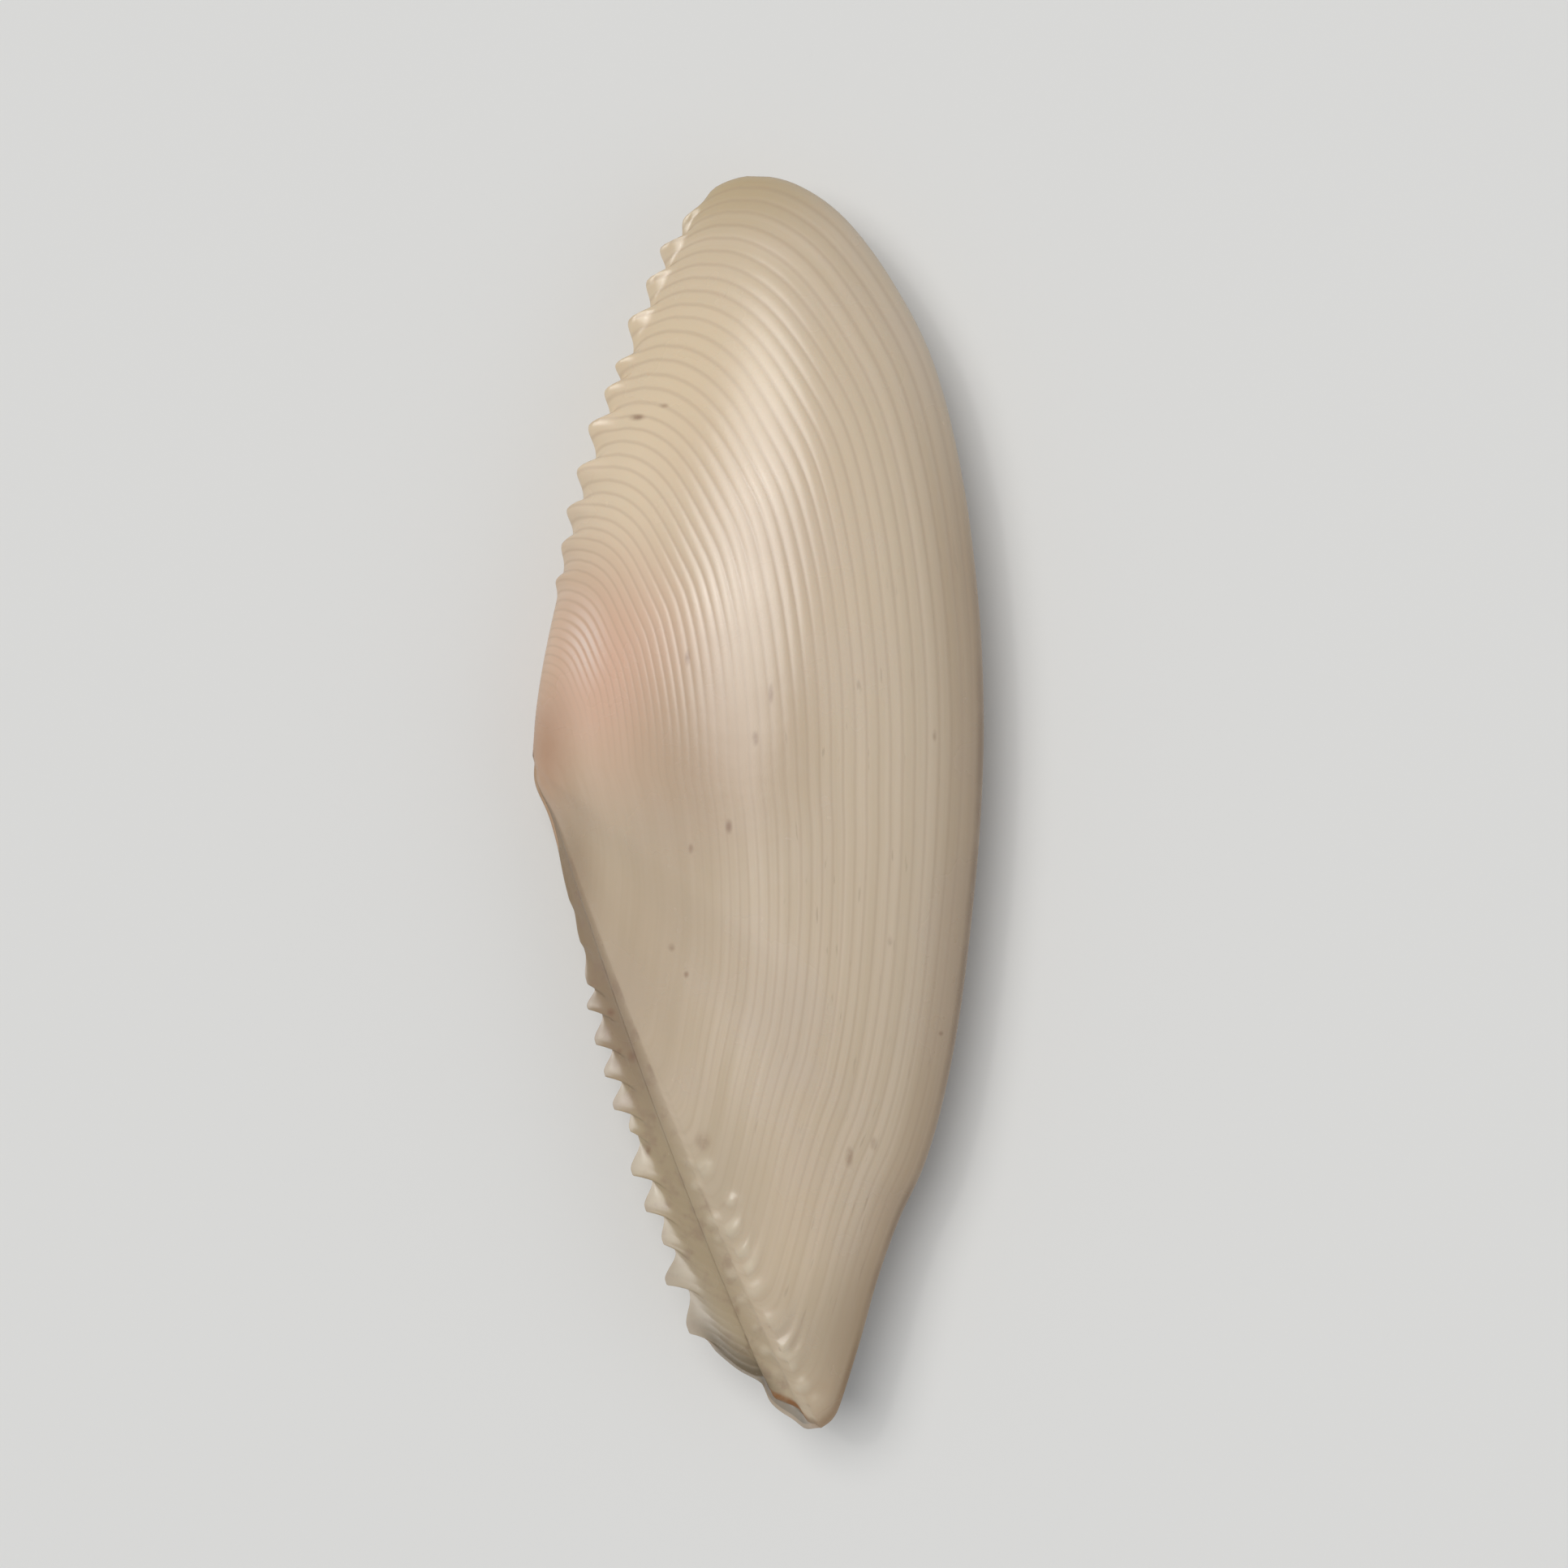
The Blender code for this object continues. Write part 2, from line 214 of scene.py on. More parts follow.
def full_beak(y):
    """How far the full beak hangs out over the hinge line."""
    return BEAK_BULGE * np.exp(-((y - BULGE_PLACE) / BULGE_SPREAD) ** 2)


def outward(points):
    """Directions that stand square on the plain valve and point away from the hollow."""
    along, across = np.gradient(points, axis=1), np.gradient(points, axis=0)
    normal = np.cross(along, across)
    normal *= np.sign(normal[..., 2:] + 1e-12)
    return normal / np.maximum(np.linalg.norm(normal, axis=-1, keepdims=True), 1e-9)


def ridge_starts(chance):
    """The ages at which the ridges begin, close together at the beak and wider apart later."""
    starts = [FIRST_RIDGE]
    while starts[-1] < 1.0:
        pace = RIDGE_PACE + PACE_ADDED_LATER * gently(starts[-1], 0.06, 0.6)
        starts.append(starts[-1] + pace * chance.uniform(0.93, 1.07))
    return np.array(starts) / starts[-1]


def growth_ridges(skin, ages, starts, chance, wave):
    """Relief of the ridges in millimetres, and the height on each ridge that the colours follow."""
    age, place = ages[:, None], skin_places[None, :]
    wander = 0.05 * np.sin(6.0 * place + 19.0 * age + wave) + 0.03 * np.sin(17.0 * place - 31.0 * age)
    count = np.interp(ages, starts, np.arange(len(starts)))[:, None] + wander * gently(age, 0.02, 0.2)
    ridge, share = np.floor(count).astype(int), count - np.floor(count)
    crest = 1.0 - (2.0 * share - 1.0) ** 2
    strong = chance.uniform(0.8, 1.1, len(starts) + 4)[np.clip(ridge, 0, len(starts))]
    x, y = skin[..., 0], skin[..., 1]
    reach = 1.0 - 0.72 * gently(place, 0.36, 0.62) - 0.1 * gently(place, 0.8, 1.0)
    worn = gently(oval(x, y, 3.5, -9.5, 8.5, 14.5), 0.5, 1.0)
    reach = reach * (0.04 + 0.96 * worn) * (0.3 + 0.7 * gently(y, 1.0, 12.0))
    reach = reach + 0.18 * gently(place, 1.2, 1.35) * gently(age, 0.4, 0.6)
    bold = 1.0 - gently(oval(x, y, 8.0, 10.0, 13.0, 15.0), 0.35, 1.0)
    reach = reach * (0.8 + 0.2 * bold) * gently(age, 0.0, 0.06) * gently(1.0 - age, 0.0, 0.02)
    reach = reach * gently(place, 0.0, 0.01) * gently(2.0 - place, 0.0, 0.06)
    lined = (0.1 + 0.9 * worn) * (1.0 - 0.55 * gently(place, 0.86, 0.96)) * gently(age, 0.02, 0.1)
    smooth_beak = 0.2 + 0.8 * gently(oval(x, y, 0.5, 0.5, 5.0, 6.0), 0.4, 1.1)
    relief = RIDGE_RELIEF * (crest - RIDGE_LEVEL) * strong * (reach * smooth_beak)
    return relief, RIDGE_LEVEL + (crest - RIDGE_LEVEL) * (lined * smooth_beak)


def knobbed_keel(skin, ages):
    """Height of the knobs and the beaded keel in millimetres, and the strength of the groove at its foot."""
    age, place = ages[:, None], skin_places[None, :]
    x, y = skin[..., 0], skin[..., 1]
    lumps = sum(height * np.exp(-((x - lump_x) ** 2 + (y - lump_y) ** 2) / width ** 2)
                for lump_x, lump_y, height, width in knobs)
    keel_line = np.exp(-((place - 0.995) / 0.02) ** 2) * gently(age, 0.15, 0.35)
    beads = np.sin(96.0 * age + 3.0 * np.sin(31.0 * age))
    lumps = lumps + keel_line * (0.02 + 0.04 * gently(age, 0.4, 0.6) * beads)
    foot = 1.0 + KEEL_FOOT + 0.2 * gently(age, 0.5, 1.0)
    foot = foot + 0.02 * np.sin(70.0 * age) + 0.015 * np.sin(151.0 * age)
    groove = np.exp(-((place - foot) / 0.035) ** 2) * gently(age, 0.3, 0.45)
    groove = groove * (0.45 + 0.55 * gently(np.sin(43.0 * age + 2.0 * np.sin(17.0 * age)), -0.6, 0.3))
    return lumps, groove


def drawn_out(skin, ages, column, spines, scale, lean, drop, swell, fade):
    """The skin with one end of its growth lines pulled out into spines, each made as the edge grew on.

    column is the end, 0 for the front and -1 for the rear. drop says how suddenly each spine ends.
    """
    before = 0.0
    for made, length in spines:
        pull = swell(np.clip((ages - before) / (made - before), 0.0, 1.0))
        pull = pull * (1.0 - gently(ages, made, made + drop * (made - before) + 0.004))
        away = np.linalg.norm(skin[..., :2] - skin[:, [column], :2], axis=-1)
        pull = scale * length * pull[:, None] * fade(away)
        skin = skin + pull[..., None] * np.array(lean)
        before = made
    return skin


# How a spine rises while its part of the edge grows, and how it fades away from the corner, in millimetres.
def front_swell(rise):
    return 1.0 - (1.0 - rise ** 3.6) ** 2.6


def front_fade(away):
    return 1.0 - gently(away, 0.0, 1.3)


def rear_swell(rise):
    return gently(rise, 0.3, 0.88)


def rear_fade(away):
    return np.clip(1.0 - away / 1.7, 0.0, 1.0) ** 2


# The length of one lap round the rim, as it is counted by way_round.
LAP = 3.0


def way_round(when, where):
    """Row, column and distance round the rim for each point on the edge of a skin, starting at the beak."""
    rows = np.concatenate([np.arange(len(when)), np.full(len(where) - 1, len(when) - 1),
                           np.arange(len(when) - 1)[::-1]])
    columns = np.concatenate([np.zeros(len(when), int), np.arange(1, len(where)),
                              np.full(len(when) - 1, len(where) - 1)])
    return rows, columns, np.concatenate([when, 1.0 + 0.5 * where[1:], LAP - when[-2::-1]])


def valve_faces(ages):
    """Faces of the outside and of the lining, and the narrow lip and rim that join them all the way round."""
    faces, loops, first = [], [], 2
    for tip, when, where in ((0, ages, skin_places), (1, lining_ages, lining_places)):
        number = first + np.arange(len(when) * len(where)).reshape(len(when), len(where))
        faces += [(tip, a, b) for a, b in zip(number[0], number[0][1:])]
        faces += np.stack([number[:-1, :-1], number[1:, :-1], number[1:, 1:], number[:-1, 1:]],
                          axis=-1).reshape(-1, 4).tolist()
        rows, columns, run = way_round(when, where)
        loops.append([(0.0, tip)] + list(zip(run, number[rows, columns])))
        first += len(when) * len(where)
    rim, inner = loops
    lip = [(at, first + k) for k, (at, _) in enumerate(rim)]
    for k in range(len(rim)):
        following = (k + 1) % len(rim)
        faces.append((rim[k][1], lip[k][1], lip[following][1], rim[following][1]))
    i = j = 0
    while i < len(lip) or j < len(inner):
        a, b = lip[i % len(lip)][1], inner[j % len(inner)][1]
        next_lip = lip[i + 1][0] if i + 1 < len(lip) else LAP
        next_inner = inner[j + 1][0] if j + 1 < len(inner) else LAP
        if j >= len(inner) or (i < len(lip) and next_lip <= next_inner):
            i += 1
            faces.append((a, b, lip[i % len(lip)][1]))
        else:
            j += 1
            faces.append((a, b, inner[j % len(inner)][1]))
    return [tuple(int(number) for number in face) for face in faces]


def grow_valve(name, side, overhang, seed):
    """A whole valve as a closed mesh. side is 1 for the upper valve and -1 for the lower one."""
    chance = np.random.default_rng(seed)
    starts = ridge_starts(chance)
    steps = np.arange(0, len(starts) - 1, 1.0 / ROWS_PER_RIDGE)
    ages = np.append(np.interp(steps, np.arange(len(starts)), starts), 1.0)
    skin = plain_valve(ages, skin_places, overhang)
    normal = outward(skin)
    relief, tint = growth_ridges(skin, ages, starts, chance, seed)
    lumps, groove = knobbed_keel(skin, ages)
    relief = relief + lumps - GROOVE_DEPTH * groove
    skin = skin + relief[..., None] * normal
    from_hinge = skin[..., 0] - hinge_line(skin[..., 1])
    skin[..., 0] -= full_beak(skin[..., 1]) * (1.0 - gently(from_hinge, 0.0, 3.0))
    if side > 0:
        for nick, width, depth in nicks:
            dent = depth * np.exp(-((skin_places[None, :] - nick) / width) ** 2)
            dent = dent * gently(ages[:, None], 0.94, 1.0)
            skin[..., :2] -= dent[..., None] * REARWARD

    half_sizes = np.array([HALF_WIDTH, HALF_LENGTH, HALF_WIDTH])
    beak_tip = [-full_beak(0.0), 0.0, 0.0]
    rows, columns, _ = way_round(ages, skin_places)
    lip = np.vstack([beak_tip, skin[rows, columns]])
    lip = VALVE_MIDDLE + (lip - VALVE_MIDDLE) * (1.0 - LIP_WIDTH / half_sizes)
    lip[:, 2] = 0.0
    front_lean, rear_lean = (-0.95, 0.3, 0.35), (-0.93, -0.36, 0.15)
    rear_scale = 1.0 if side > 0 else 0.75
    skin = drawn_out(skin, ages, 0, front_spines, 1.0, front_lean, 0.3, front_swell, front_fade)
    skin = drawn_out(skin, ages, -1, rear_spines, rear_scale, rear_lean, 0.17, rear_swell, rear_fade)
    shrink = 1.0 - SHELL_WALL / np.array([HALF_WIDTH, HALF_LENGTH, VALVE_DEPTH])
    lining = VALVE_MIDDLE + (plain_valve(lining_ages, lining_places, overhang) - VALVE_MIDDLE) * shrink
    tips = np.array([beak_tip, VALVE_MIDDLE * (1.0 - shrink)])

    points = np.vstack([tips, skin.reshape(-1, 3), lining.reshape(-1, 3), lip])
    bend = REAR_BEND * np.clip((-points[:, 1] - BEND_START) / BEND_LENGTH, 0.0, 1.0) ** 1.8
    points[:, 2] = bend + side * (points[:, 2] + 0.5 * RIM_GAP)
    points = (points + BEAK) * MILLIMETRE
    points[:, 2] = np.maximum(points[:, 2], 0.0)
    faces = valve_faces(ages)
    if side > 0:
        faces = [face[::-1] for face in faces]
    mesh = bpy.data.meshes.new(name)
    mesh.from_pydata(points.tolist(), [], faces)

    flat_skin, flat_lining = np.zeros(skin[..., 0].size), np.zeros(lining[..., 0].size)
    flat_lip = np.zeros(len(lip))
    for label, at_tips, on_skin, on_lining, on_lip in (
            ("age", (0.0, 0.0), np.repeat(ages, len(skin_places)), np.repeat(lining_ages, len(lining_places)),
             np.append(0.0, ages[rows])),
            ("place", (0.0, 0.0), np.tile(skin_places, len(ages)), np.tile(lining_places, len(lining_ages)),
             np.append(0.0, skin_places[columns])),
            ("crest", (RIDGE_LEVEL, RIDGE_LEVEL), tint.ravel(), flat_lining + RIDGE_LEVEL,
             flat_lip + RIDGE_LEVEL),
            ("inside", (0.0, 1.0), flat_skin, flat_lining + 1.0, flat_lip),
            ("knob", (0.0, 0.0), lumps.ravel(), flat_lining, flat_lip),
            ("groove", (0.0, 0.0), groove.ravel(), flat_lining, flat_lip)):
        layer = mesh.attributes.new(label, "FLOAT", "POINT")
        values = np.concatenate([at_tips, on_skin, on_lining, on_lip])
        layer.data.foreach_set("value", values.astype(np.float32))
    mesh.shade_smooth()
    mesh.set_sharp_from_angle(angle=math.radians(55.0))
    valve = bpy.data.objects.new(name, mesh)
    bpy.context.scene.collection.objects.link(valve)
    return valve


# Soft patches of colour, laid one over the other: colour, middle and half sizes in millimetres, strength.
colour_patches = [
    ((0.74, 0.605, 0.44), 13.5, 18.0, 15.0, 20.0, 0.55),
    ((0.73, 0.58, 0.395), 7.5, 20.0, 9.0, 16.0, 0.75),
    ((0.78, 0.63, 0.46), 5.5, 15.0, 6.0, 9.0, 0.6),
    ((0.59, 0.455, 0.335), 12.0, 11.0, 8.0, 14.0, 0.7),
    ((0.72, 0.59, 0.44), 19.5, 4.0, 6.5, 30.0, 0.4),
    ((0.66, 0.545, 0.42), 12.8, -9.5, 6.0, 8.0, 0.4),
    ((0.61, 0.485, 0.345), 14.0, -25.0, 5.5, 9.0, 0.45),
    ((0.44, 0.335, 0.185), 11.0, 33.5, 10.0, 6.0, 0.75),
    ((0.48, 0.375, 0.265), 5.5, -9.0, 8.5, 15.0, 0.7),
    ((0.47, 0.385, 0.275), 10.0, -24.0, 5.0, 8.0, 0.6),
    ((0.70, 0.44, 0.32), 4.0, 5.0, 8.0, 10.0, 0.85),
    ((0.42, 0.235, 0.145), 0.4, 0.6, 2.6, 6.0, 0.7),
    ((0.30, 0.205, 0.125), 1.8, -6.0, 2.6, 7.0, 0.6),
    ((0.45, 0.32, 0.215), 9.8, 1.0, 7.5, 9.0, 0.85),
    ((0.43, 0.345, 0.24), 14.8, -33.0, 5.0, 6.5, 0.6),
]
# Brown specks, placed in pixels of the photograph: from its left, from its top, half sizes, strength.
PIXEL, BEAK_FROM_LEFT, BEAK_FROM_TOP = 0.045514, 662, 940
SPECK_SPREAD = 0.06825
specks = [
    (848, 814, 3, 9, 0.8), (949, 858, 3, 11, 0.7), (930, 912, 4, 8, 0.8), (898, 1018, 4, 8, 0.7),
    (1148, 907, 2.5, 7, 0.5), (785, 518, 10, 4, 0.75), (818, 505, 6, 3, 0.5), (752, 1247, 5, 5, 0.8),
    (778, 1300, 6, 8, 0.6), (762, 1295, 4, 4, 0.5), (798, 1418, 4, 7, 0.7), (907, 1612, 4, 8, 0.7),
    (866, 1401, 9, 12, 0.5), (1074, 1405, 4, 8, 0.6), (1044, 1420, 5, 11, 0.6), (1157, 1272, 3, 3, 0.7),
    (852, 1045, 3, 6, 0.5), (828, 1165, 4, 5, 0.5), (846, 1198, 3, 4, 0.6), (1093, 1157, 3, 6, 0.4),
]


def shell_finish(name, fringed):
    """Glossy cream porcelain, flushed pink round the beak and stained along the edge and the rear strip, with
    painted shade in the grooves, over the blunt end and between the valves, and a painted glint on the ridges
    at the beak.
    """
    material = bpy.data.materials.new(name)
    material.use_nodes = True
    nodes, links = material.node_tree.nodes, material.node_tree.links
    shader = nodes["Principled BSDF"]

    def node(kind, **settings):
        made = nodes.new(kind)
        for key, value in settings.items():
            setattr(made, key, value)
        return made

    def feed(socket, value):
        if isinstance(value, bpy.types.NodeSocket):
            links.new(value, socket)
        elif isinstance(value, tuple) and socket.type == "RGBA":
            socket.default_value = (*value, 1.0)
        else:
            socket.default_value = value

    def worked_out(operation, first, second):
        made = node("ShaderNodeMath", operation=operation)
        feed(made.inputs[0], first)
        feed(made.inputs[1], second)
        return made.outputs[0]

    def times(first, second):
        return worked_out("MULTIPLY", first, second)

    def between(value, start, end, low=0.0, high=1.0):
        made = node("ShaderNodeMapRange", interpolation_type="SMOOTHSTEP")
        for socket, number in zip(made.inputs[:5], (value, start, end, low, high)):
            feed(socket, number)
        return made.outputs[0]

    def lay_over(under, colour, share):
        made = node("ShaderNodeMix", data_type="RGBA")
        feed(made.inputs[0], share)
        feed(made.inputs[6], under)
        feed(made.inputs[7], colour)
        return made.outputs[2]

    def patch(x, y, wide, long, soft=1.0):
        """1 in the middle of an oval patch on the shell, 0 outside it. Place and size are in millimetres."""
        made = node("ShaderNodeVectorMath", operation="SUBTRACT")
        links.new(where, made.inputs[0])
        made.inputs[1].default_value = ((x + BEAK[0]) * MILLIMETRE, (y + BEAK[1]) * MILLIMETRE, 0.0)
        scaled = node("ShaderNodeVectorMath", operation="MULTIPLY")
        links.new(made.outputs[0], scaled.inputs[0])
        scaled.inputs[1].default_value = (1.0 / (wide * MILLIMETRE), 1.0 / (long * MILLIMETRE), 0.0)
        length = node("ShaderNodeVectorMath", operation="LENGTH")
        links.new(scaled.outputs[0], length.inputs[0])
        return between(length.outputs[1], 1.0, 1.0 - soft)

    def cloud(vector, scale, detail, rough=0.55):
        made = node("ShaderNodeTexNoise")
        links.new(vector, made.inputs["Vector"])
        made.inputs["Scale"].default_value = scale
        made.inputs["Detail"].default_value = detail
        made.inputs["Roughness"].default_value = rough
        return made.outputs[0]

    def along_the_growth(per_age, per_place):
        """A direction for a cloud that is drawn out along the growth lines."""
        made = node("ShaderNodeCombineXYZ")
        links.new(times(age, per_age), made.inputs[0])
        links.new(times(place, per_place), made.inputs[1])
        return made.outputs[0]

    def kept(label):
        return node("ShaderNodeAttribute", attribute_name=label).outputs["Fac"]

    where = node("ShaderNodeTexCoord").outputs["Object"]
    age, place, crest = kept("age"), kept("place"), kept("crest")
    inside, knob, groove = kept("inside"), kept("knob"), kept("groove")
    bands = cloud(along_the_growth(26.0, 1.2), 1.0, 5.0, 0.6)
    mottle = cloud(where, 160.0, 4.0)
    fine = cloud(where, 900.0, 4.0)

    colour = lay_over((0.545, 0.44, 0.315), (0.61, 0.50, 0.375), between(bands, 0.36, 0.66))
    colour = lay_over(colour, (0.55, 0.455, 0.375), times(between(mottle, 0.42, 0.68), 0.4))
    for tint, x, y, wide, long, strength in colour_patches:
        colour = lay_over(colour, tint, times(patch(x, y, wide, long), strength))

    # The strip between keel and hinge, the knobs and the groove.
    strip_tan = lay_over((0.255, 0.18, 0.11), (0.36, 0.28, 0.173), between(age, 0.26, 0.5))
    colour = lay_over(colour, strip_tan, times(between(place, 0.985, 1.5), 0.85))
    flecks = times(between(place, 1.05, 1.2), between(fine, 0.48, 0.68, 0.0, 0.4))
    colour = lay_over(colour, (0.27, 0.18, 0.13), flecks)
    strip_margin = times(between(place, 1.55, 1.9), between(age, 0.68, 0.92, 0.0, 0.5))
    colour = lay_over(colour, (0.42, 0.36, 0.29), strip_margin)
    colour = lay_over(colour, (0.64, 0.56, 0.43), times(between(knob, 0.02, 0.12), 0.5))
    # Brown dirt in the groove at the keel's foot, dark enough to paint the shade in that crease as well.
    groove_dirt_and_shade = times(between(groove, 0.3, 0.95), between(mottle, 0.46, 0.58, 0.0, 0.4))
    colour = lay_over(colour, (0.16, 0.095, 0.05), groove_dirt_and_shade)

    # Tan and brown stains along the edge, most of all on the blunt end, where a dark olive band is partly
    # stain and partly painted shade.
    rim_side = times(between(place, 0.2, 0.4), between(place, 1.04, 0.98))
    colour = lay_over(colour, (0.40, 0.285, 0.18), times(times(between(age, 0.86, 1.0), rim_side), 0.7))
    colour = lay_over(colour, (0.33, 0.25, 0.16), times(patch(17.5, -33.0, 3.0, 9.0), 0.6))
    edge = times(between(age, 0.975, 0.995), between(place, 0.3, 0.5))
    colour = lay_over(colour, (0.24, 0.155, 0.09), times(edge, between(mottle, 0.3, 0.6, 0.35, 0.8)))
    # Dark olive over the blunt end: partly brown stain, partly painted shade along that edge.
    blunt_stain_and_shade = times(between(place, 1.25, 1.45), between(place, 2.0, 1.86))
    colour = lay_over(colour, (0.12, 0.09, 0.05), times(blunt_stain_and_shade, between(age, 0.87, 1.0, 0.0, 0.92)))
    tip_lip = times(between(place, 1.03, 1.1), between(place, 1.5, 1.35))
    colour = lay_over(colour, (0.24, 0.20, 0.14), times(tip_lip, between(age, 0.985, 0.998, 0.0, 0.8)))
    fringe = times(between(place, 1.06, 1.1), between(place, 1.5, 1.4))
    fringe = times(fringe, between(age, 0.972, 0.988, 0.0, fringed))
    colour = lay_over(colour, (0.25, 0.11, 0.04), times(fringe, between(fine, 0.35, 0.6, 0.35, 0.95)))

    # Short dashes along the growth lines, a brown tint in the grooves that also paints their shade, pale tint
    # with a painted glint on the beak's ridges, and the lining.
    dashes = between(cloud(along_the_growth(62.0, 26.0), 1.0, 2.0, 0.5), 0.66, 0.76)
    dashes = times(dashes, times(between(place, 0.3, 0.45), between(age, 0.4, 0.6)))
    colour = lay_over(colour, (0.36, 0.28, 0.20), times(dashes, 0.4))
    # Brown tint in the grooves between the ridges, which also paints the shade that falls in them.
    colour = lay_over(colour, (0.42, 0.31, 0.22), times(between(crest, 0.75, 0.05), 0.3))
    # Pale crest lines on the ridges at the beak: partly the shell's whitish tint, partly a painted highlight.
    pale_tint_and_painted_glint = times(patch(2.75, 6.5, 1.7, 3.4), between(crest, 0.35, 0.95))
    colour = lay_over(colour, (0.86, 0.75, 0.68), times(pale_tint_and_painted_glint, 0.5))
    colour = lay_over(colour, (0.50, 0.445, 0.40), times(inside, 0.9))
    # Painted shade on the lining and rim at the blunt end, where they lie in the gap between the valves.
    painted_shade_in_gap = times(between(place, 1.02, 1.1), between(place, 1.9, 1.7))
    painted_shade_in_gap = times(between(inside, 0.0, 0.1), painted_shade_in_gap)
    colour = lay_over(colour, (0.135, 0.11, 0.075), times(painted_shade_in_gap, 0.9))

    stain = 0.0
    for from_left, from_top, wide, long, strength in specks:
        x, y = (from_left - BEAK_FROM_LEFT) * PIXEL, (BEAK_FROM_TOP - from_top) * PIXEL
        spot = patch(x, y, wide * SPECK_SPREAD, long * SPECK_SPREAD, 0.9)
        stain = worked_out("MAXIMUM", stain, times(spot, strength))
    colour = lay_over(colour, (0.22, 0.12, 0.075), times(stain, between(fine, 0.3, 0.6, 0.3, 0.9)))

    links.new(colour, shader.inputs["Base Color"])
    links.new(between(mottle, 0.3, 0.7, 0.22, 0.30), shader.inputs["Roughness"])
    shader.inputs["Specular IOR Level"].default_value = 0.5
    shader.inputs["Subsurface Weight"].default_value = 0.12
    shader.inputs["Subsurface Radius"].default_value = (1.0, 0.62, 0.4)
    shader.inputs["Subsurface Scale"].default_value = 0.0012
    bump = node("ShaderNodeBump")
    bump.inputs["Strength"].default_value = 0.12
    bump.inputs["Distance"].default_value = 0.00006
    links.new(fine, bump.inputs["Height"])
    links.new(bump.outputs[0], shader.inputs["Normal"])
    return material


right_valve = grow_valve("right_valve_shell", 1.0, 0.0, 3)
right_valve.data.materials.append(shell_finish("cream_shell_above", 1.0))
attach(right_valve, "root")
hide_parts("right_valve")

# The left valve is the lower half, the near mirror image of the upper one, closed against it rim to rim.
# It bends with it at the rear, where its blunt end stands out a little past the upper valve, and it is
# what the shell lies on.
REAR_OVERHANG = 0.42
left_valve = grow_valve("left_valve_shell", -1.0, REAR_OVERHANG, 11)
left_valve.data.materials.append(shell_finish("cream_shell_below", 0.15))
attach(left_valve, "root")
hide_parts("left_valve")

# The ligament is a short strap of brown horn, laid down in thin sheets along the hinge just behind the beaks.
# It holds the two valves together and springs them open when the animal lets go.
STRAP_FRONT, STRAP_LENGTH = 0.45, 5.65
STRAP_REACH, STRAP_THICKNESS = 0.2, 0.16
HINGE_BACK, HINGE_SIDEWAYS, HINGE_SAG = 32.5, 9.4, 2.2
rings, around = 40, 24
strap_points, strap_faces = [], []
for k in range(rings):
    share = k / (rings - 1.0)
    y = STRAP_FRONT - STRAP_LENGTH * share
    back = max(-y, 0.0) / HINGE_BACK
    hinge = HINGE_SIDEWAYS * back - HINGE_SAG * back * (1.0 - back)
    swell = math.sin(math.pi * (0.04 + 0.92 * share)) ** 0.3
    bulge = float(full_beak(y)) + 0.05
    for c in range(around):
        turn = 2.0 * math.pi * c / around
        fibre = 1.0 + 0.05 * math.sin(6.0 * turn + 0.6 * math.sin(9.0 * share))
        half_reach = 0.5 * (STRAP_REACH + bulge) * swell * math.cos(turn) * fibre
        x = hinge + 0.5 * (STRAP_REACH - bulge) + half_reach
        z = (STRAP_THICKNESS + 0.3 * bulge) * swell * math.sin(turn) * fibre
        strap_points.append(((np.array([x, y, z]) + BEAK) * MILLIMETRE).tolist())
for k in range(rings - 1):
    for c in range(around):
        d = (c + 1) % around
        strap_faces.append((k * around + c, k * around + d, (k + 1) * around + d, (k + 1) * around + c))
strap_faces += [tuple(range(around))[::-1], tuple(range((rings - 1) * around, rings * around))]
strap = bpy.data.meshes.new("ligament_strap")
strap.from_pydata(strap_points, [], strap_faces)
strap.shade_smooth()
horn = bpy.data.materials.new("brown_horn")
horn.use_nodes = True
horn_nodes, horn_links = horn.node_tree.nodes, horn.node_tree.links
grain = horn_nodes.new("ShaderNodeTexNoise")
grain.inputs["Scale"].default_value = 1400.0
grain.inputs["Detail"].default_value = 5.0
horn_links.new(horn_nodes.new("ShaderNodeTexCoord").outputs["Object"], grain.inputs["Vector"])
browns = horn_nodes.new("ShaderNodeValToRGB")
browns.color_ramp.elements[0].color = (0.34, 0.21, 0.12, 1.0)
browns.color_ramp.elements[1].color = (0.52, 0.36, 0.235, 1.0)
horn_links.new(grain.outputs[0], browns.inputs[0])
horn_links.new(browns.outputs[0], horn_nodes["Principled BSDF"].inputs["Base Color"])
horn_nodes["Principled BSDF"].inputs["Roughness"].default_value = 0.5
strap.materials.append(horn)
ligament = bpy.data.objects.new("ligament_strap", strap)
bpy.context.scene.collection.objects.link(ligament)
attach(ligament, "root")
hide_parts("ligament")

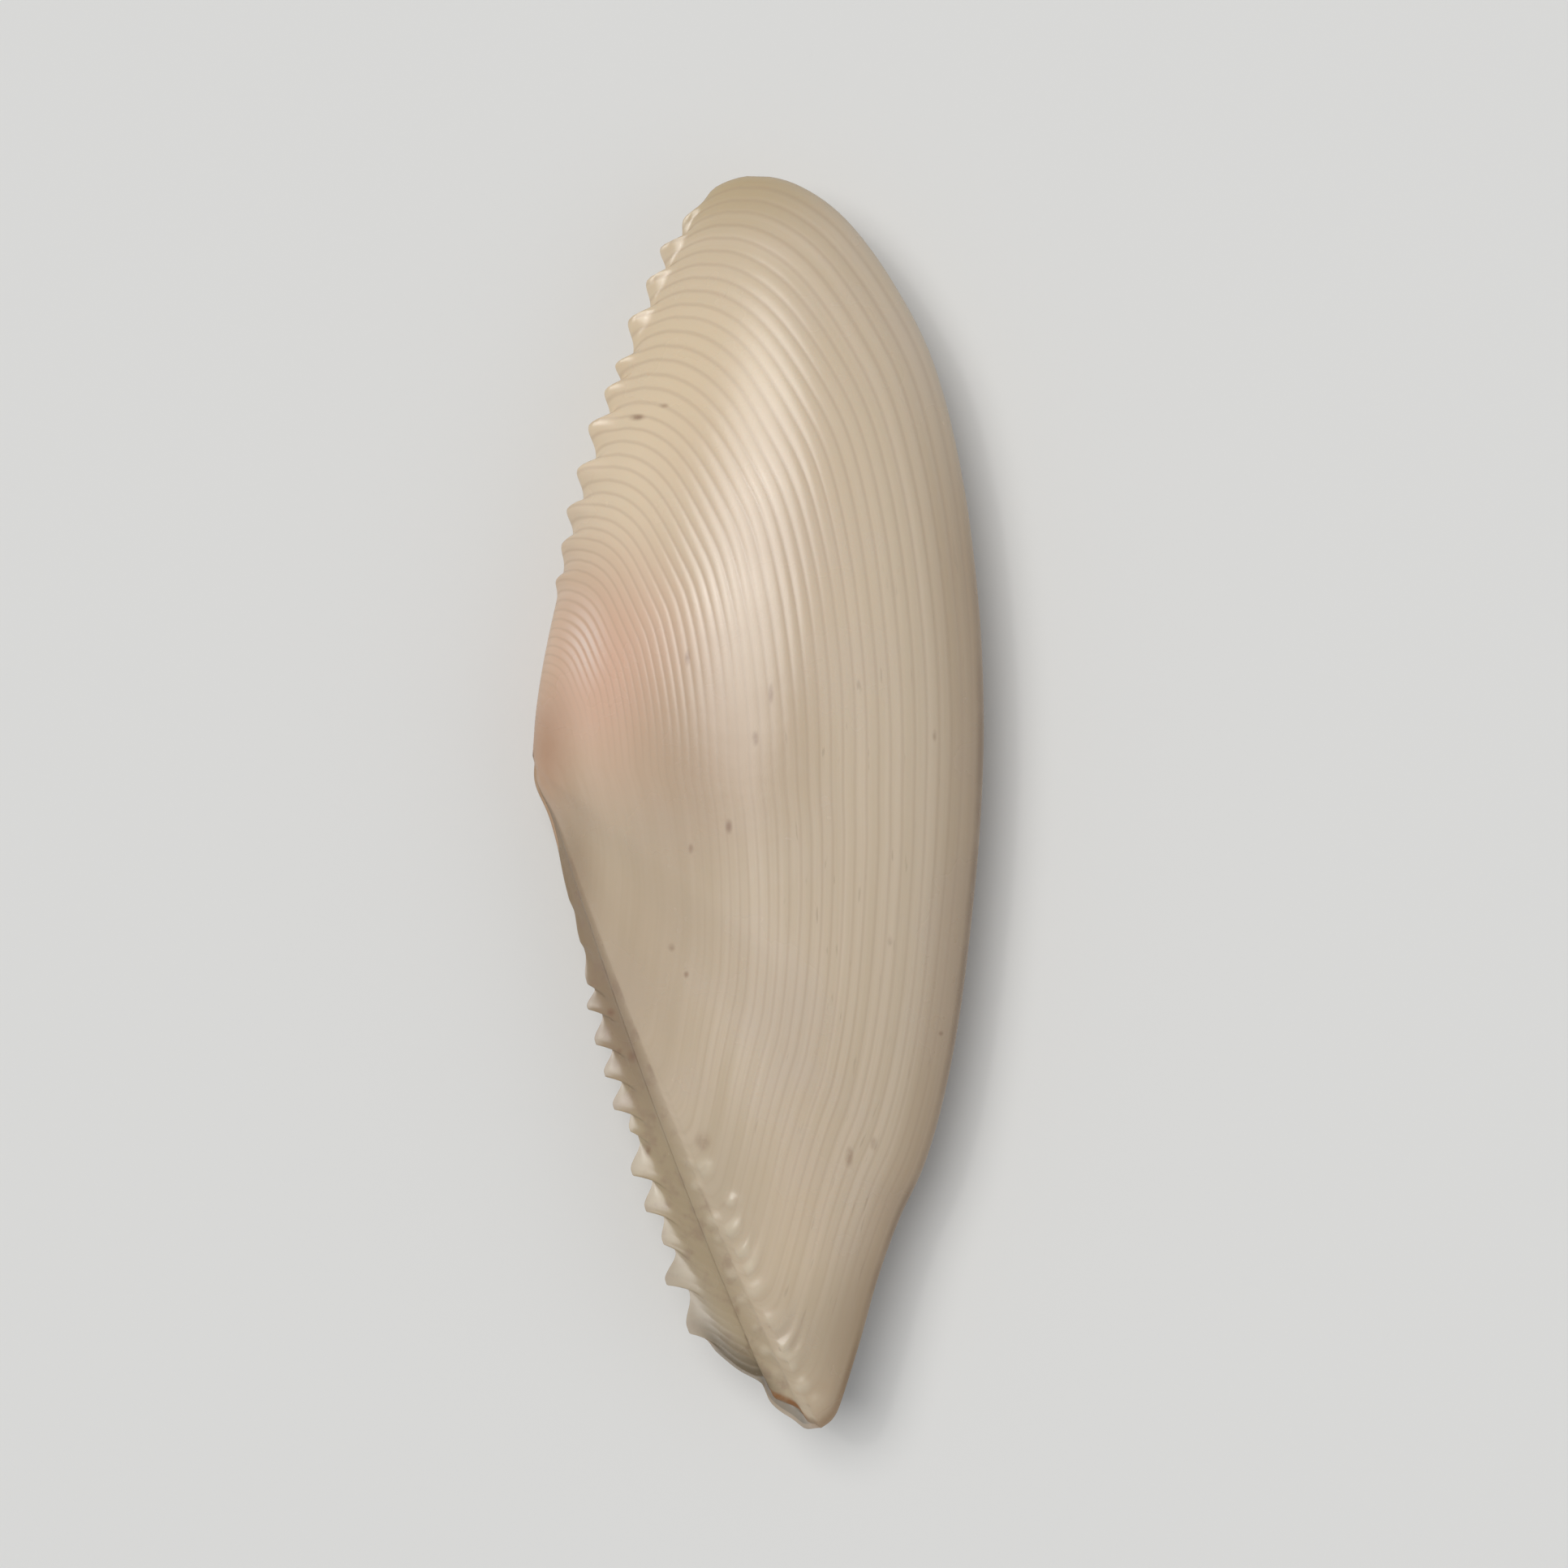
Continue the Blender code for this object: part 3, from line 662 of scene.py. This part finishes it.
# A plain pale table. A broad window light falls from the front on the hinge side, with a small lamp beside it
# for the gloss and a weak soft one opposite, and the camera looks straight down.
TABLE_HALF = 3.0
corners = [(-1.0, -1.0), (1.0, -1.0), (1.0, 1.0), (-1.0, 1.0)]
table = bpy.data.meshes.new("table")
table.from_pydata([(x * TABLE_HALF, y * TABLE_HALF, 0.0) for x, y in corners], [], [(0, 1, 2, 3)])
paper = bpy.data.materials.new("pale_paper")
paper.use_nodes = True
paper.node_tree.nodes["Principled BSDF"].inputs["Base Color"].default_value = (0.74, 0.74, 0.73, 1.0)
paper.node_tree.nodes["Principled BSDF"].inputs["Roughness"].default_value = 0.9
table.materials.append(paper)
floor = bpy.data.objects.new("table", table)
bpy.context.scene.collection.objects.link(floor)

daylight, skylight = (1.0, 0.985, 0.96), (0.97, 0.98, 1.0)


def hang_light(name, light, place):
    """Hang a light at a place, aimed at the middle of the table."""
    thing = bpy.data.objects.new(name, light)
    thing.location = place
    thing.rotation_euler = (-Vector(place)).to_track_quat("-Z", "Y").to_euler()
    bpy.context.scene.collection.objects.link(thing)


for name, place, size, power, warmth in (
        ("lamp_for_the_gloss", (-0.29, 0.18, 0.75), 0.06, 0.33, daylight),
        ("lamp_opposite", (0.6, -0.1, 0.6), 0.8, 0.5, skylight)):
    lamp = bpy.data.lights.new(name, "AREA")
    lamp.shape, lamp.size, lamp.energy, lamp.color = "DISK", size, power, warmth
    hang_light(name, lamp, place)
window = bpy.data.lights.new("window_light", "SUN")
window.energy, window.angle, window.color = 1.9, math.radians(38.0), daylight
hang_light("window_light", window, (-0.25, 0.20, 0.82))
world = bpy.data.worlds.new("room")
world.use_nodes = True
world.node_tree.nodes["Background"].inputs[0].default_value = (0.93, 0.96, 1.0, 1.0)
world.node_tree.nodes["Background"].inputs[1].default_value = 0.30
bpy.context.scene.world = world
bpy.context.scene.view_settings.view_transform = "Standard"

RIM_HEIGHT, CAMERA_DISTANCE = 0.0056, 0.2443
PICTURE_MIDDLE = (0.00141, 0.00091)
lens = bpy.data.cameras.new("camera")
lens.lens, lens.sensor_width = 100.0, 36.0
lens.clip_start = 0.01
camera = bpy.data.objects.new("camera", lens)
camera.location = (*PICTURE_MIDDLE, CAMERA_DISTANCE + RIM_HEIGHT)
bpy.context.scene.collection.objects.link(camera)
bpy.context.scene.camera = camera
